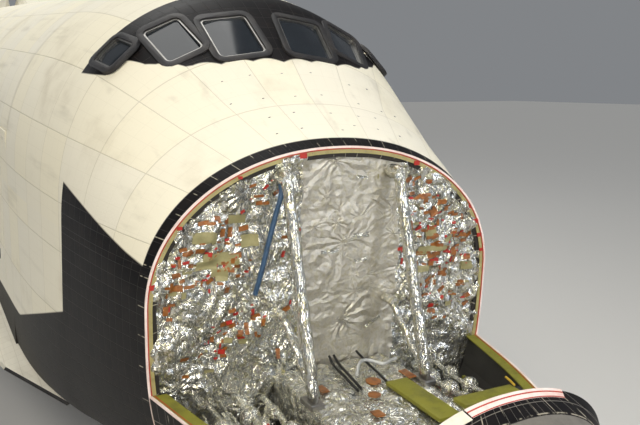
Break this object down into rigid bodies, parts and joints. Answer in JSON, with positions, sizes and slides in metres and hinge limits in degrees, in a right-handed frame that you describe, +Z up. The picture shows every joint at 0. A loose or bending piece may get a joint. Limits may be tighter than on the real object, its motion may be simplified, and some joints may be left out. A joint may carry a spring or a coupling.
{
  "type": "winged spaceplane",
  "caption": "Winged spaceplane on its landing gear, its forward thruster module removed: payload doors, hatch, elevons, body flap, speedbrake rudder and gimballed engines all move.",
  "frame": {"origin": "on the ground, under the middle of the craft's bounding box as it stands on its gear", "axes": "+X towards the craft's left, +Y towards its tail, +Z up; the body stands nose down by 3.4 degrees about X"},
  "size_m": [23.6728, 36.395, 17.3095],
  "materials": {
    "grey_carbon": "satin",
    "black_tile": "satin",
    "white_tile": "matte",
    "white_blanket": "matte",
    "white_side": "matte",
    "foil": "gloss",
    "primer": "satin",
    "cabin_grey": "matte",
    "window_glass": "polished",
    "nozzle_metal": "satin",
    "gear_metal": "satin",
    "tyre_rubber": "matte"
  },
  "bodies": {
    "airframe": {"nose_cap": "grey_carbon", "nose_shell": "black_tile", "forward_bulkhead": "foil", "cabin_aft_bulkhead": "primer", "cabin_shell": "white_tile", "window_1_left": "window_glass", "window_1_right": "window_glass", "window_2_left": "window_glass", "window_2_right": "window_glass", "window_3_left": "window_glass", "window_3_right": "window_glass", "flight_deck": "cabin_grey", "mid_fuselage": "white_side", "aft_fuselage": "white_tile", "pod_left": "white_blanket", "pod_right": "white_blanket", "pod_nozzle_left": "nozzle_metal", "pod_nozzle_right": "nozzle_metal", "fin": "white_blanket", "wing_left": "white_tile", "wing_right": "white_tile", "wing_edge_left": "grey_carbon", "wing_edge_right": "grey_carbon", "main_gear_leg_left": "gear_metal", "main_gear_leg_right": "gear_metal", "main_gear_door_left": "black_tile", "main_gear_door_right": "black_tile", "nose_gear_leg": "gear_metal", "nose_gear_door_left": "black_tile", "nose_gear_door_right": "black_tile"},
    "nose_fork": {"nose_gear_fork": "gear_metal"},
    "nose_wheels": {"nose_wheel_left": "tyre_rubber", "nose_wheel_right": "tyre_rubber"},
    "hatch": {"crew_hatch": "white_tile"},
    "flap": {"body_flap": "black_tile"},
    "rudder": {"rudder_shaft": "white_blanket"},
    "main_wheels_left": {"main_wheel_inner_left": "tyre_rubber", "main_wheel_outer_left": "tyre_rubber"},
    "bay_door_left": {"payload_door_left": "white_blanket"},
    "elevon_inboard_left": {"elevon_inboard_left": "white_tile"},
    "elevon_outboard_left": {"elevon_outboard_left": "white_tile"},
    "rudder_leaf_left": {"rudder_leaf_left": "white_blanket"},
    "main_wheels_right": {"main_wheel_inner_right": "tyre_rubber", "main_wheel_outer_right": "tyre_rubber"},
    "bay_door_right": {"payload_door_right": "white_blanket"},
    "elevon_inboard_right": {"elevon_inboard_right": "white_tile"},
    "elevon_outboard_right": {"elevon_outboard_right": "white_tile"},
    "rudder_leaf_right": {"rudder_leaf_right": "white_blanket"},
    "gimbal_upper": {"gimbal_cross_upper": "gear_metal"},
    "engine_upper": {"main_engine_upper": "nozzle_metal"},
    "gimbal_left": {"gimbal_cross_left": "gear_metal"},
    "engine_left": {"main_engine_left": "nozzle_metal"},
    "gimbal_right": {"gimbal_cross_right": "gear_metal"},
    "engine_right": {"main_engine_right": "nozzle_metal"}
  },
  "joints": [
    {"name": "nose_steer", "type": "hinge", "parent": "airframe", "child": "nose_fork", "pos_m": [0, -14.7932, 0.84593], "axis": [0, -0.0593, 0.9982], "range_deg": [-10, 10]},
    {"name": "nose_wheel_spin", "type": "hinge", "parent": "nose_fork", "child": "nose_wheels", "pos_m": [0, -14.76717, 0.40772], "axis": [1, 0, 0], "continuous": true},
    {"name": "main_wheel_spin_left", "type": "hinge", "parent": "airframe", "child": "main_wheels_left", "pos_m": [3.4544, 5.70654, 0.56511], "axis": [1, 0, 0], "continuous": true},
    {"name": "main_wheel_spin_right", "type": "hinge", "parent": "airframe", "child": "main_wheels_right", "pos_m": [-3.4544, 5.70654, 0.56511], "axis": [1, 0, 0], "continuous": true},
    {"name": "hatch_hinge", "type": "hinge", "parent": "airframe", "child": "hatch", "pos_m": [2.58935, -11.36935, 3.604], "axis": [0, 0.9982, 0.0593], "range_deg": [0, 90]},
    {"name": "bay_door_hinge_left", "type": "hinge", "parent": "airframe", "child": "bay_door_left", "pos_m": [2.65176, -0.4703, 6.02757], "axis": [0, 0.9982, 0.0593], "range_deg": [0, 175.5]},
    {"name": "bay_door_hinge_right", "type": "hinge", "parent": "airframe", "child": "bay_door_right", "pos_m": [-2.65176, -0.4703, 6.02757], "axis": [0, -0.9982, -0.0593], "range_deg": [0, 175.5]},
    {"name": "elevon_inboard_hinge_left", "type": "hinge", "parent": "airframe", "child": "elevon_inboard_left", "pos_m": [3.0226, 11.00175, 3.51761], "axis": [-0.9995, 0.0019, -0.0313], "range_deg": [-35, 20]},
    {"name": "elevon_inboard_hinge_right", "type": "hinge", "parent": "airframe", "child": "elevon_inboard_right", "pos_m": [-3.0226, 11.00175, 3.51761], "axis": [-0.9995, -0.0019, 0.0313], "range_deg": [-35, 20]},
    {"name": "elevon_outboard_hinge_left", "type": "hinge", "parent": "airframe", "child": "elevon_outboard_left", "pos_m": [8.001, 10.99248, 3.67365], "axis": [-0.9994, 0.0021, -0.0357], "range_deg": [-35, 20]},
    {"name": "elevon_outboard_hinge_right", "type": "hinge", "parent": "airframe", "child": "elevon_outboard_right", "pos_m": [-8.001, 10.99248, 3.67365], "axis": [-0.9994, -0.0021, 0.0357], "range_deg": [-35, 20]},
    {"name": "flap_hinge", "type": "hinge", "parent": "airframe", "child": "flap", "pos_m": [0, 14.68395, 3.64044], "axis": [-1, 0, 0], "range_deg": [-11.7, 22.55]},
    {"name": "rudder_hinge", "type": "hinge", "parent": "airframe", "child": "rudder", "pos_m": [0, 13.15175, 10.69939], "axis": [0, 0.5163, 0.8564], "range_deg": [-27.1, 27.1]},
    {"name": "speedbrake_left", "type": "hinge", "parent": "rudder", "child": "rudder_leaf_left", "pos_m": [0, 13.15175, 10.69939], "axis": [0, -0.5163, -0.8564], "range_deg": [0, 49.3]},
    {"name": "speedbrake_right", "type": "hinge", "parent": "rudder", "child": "rudder_leaf_right", "pos_m": [0, 13.15175, 10.69939], "axis": [0, 0.5163, 0.8564], "range_deg": [0, 49.3]},
    {"name": "engine_yaw_upper", "type": "hinge", "parent": "airframe", "child": "gimbal_upper", "pos_m": [0, 12.24305, 7.46481], "axis": [0, -0.3322, 0.9432], "range_deg": [-8.5, 8.5]},
    {"name": "engine_pitch_upper", "type": "hinge", "parent": "gimbal_upper", "child": "engine_upper", "pos_m": [0, 12.24305, 7.46481], "axis": [-1, 0, 0], "range_deg": [-10.5, 10.5]},
    {"name": "engine_yaw_left", "type": "hinge", "parent": "airframe", "child": "gimbal_left", "pos_m": [1.3462, 12.97746, 4.95378], "axis": [-0.0106, -0.2314, 0.9728], "range_deg": [-8.5, 8.5]},
    {"name": "engine_pitch_left", "type": "hinge", "parent": "gimbal_left", "child": "engine_left", "pos_m": [1.3462, 12.97746, 4.95378], "axis": [-0.9981, 0.0609, 0.0036], "range_deg": [-10.5, 10.5]},
    {"name": "engine_yaw_right", "type": "hinge", "parent": "airframe", "child": "gimbal_right", "pos_m": [-1.3462, 12.97746, 4.95378], "axis": [0.0106, -0.2314, 0.9728], "range_deg": [-8.5, 8.5]},
    {"name": "engine_pitch_right", "type": "hinge", "parent": "gimbal_right", "child": "engine_right", "pos_m": [-1.3462, 12.97746, 4.95378], "axis": [-0.9981, -0.0609, -0.0036], "range_deg": [-10.5, 10.5]}
  ],
  "couplings": [
    {"joint": "speedbrake_right", "follows": "speedbrake_left", "ratio": 1}
  ]
}
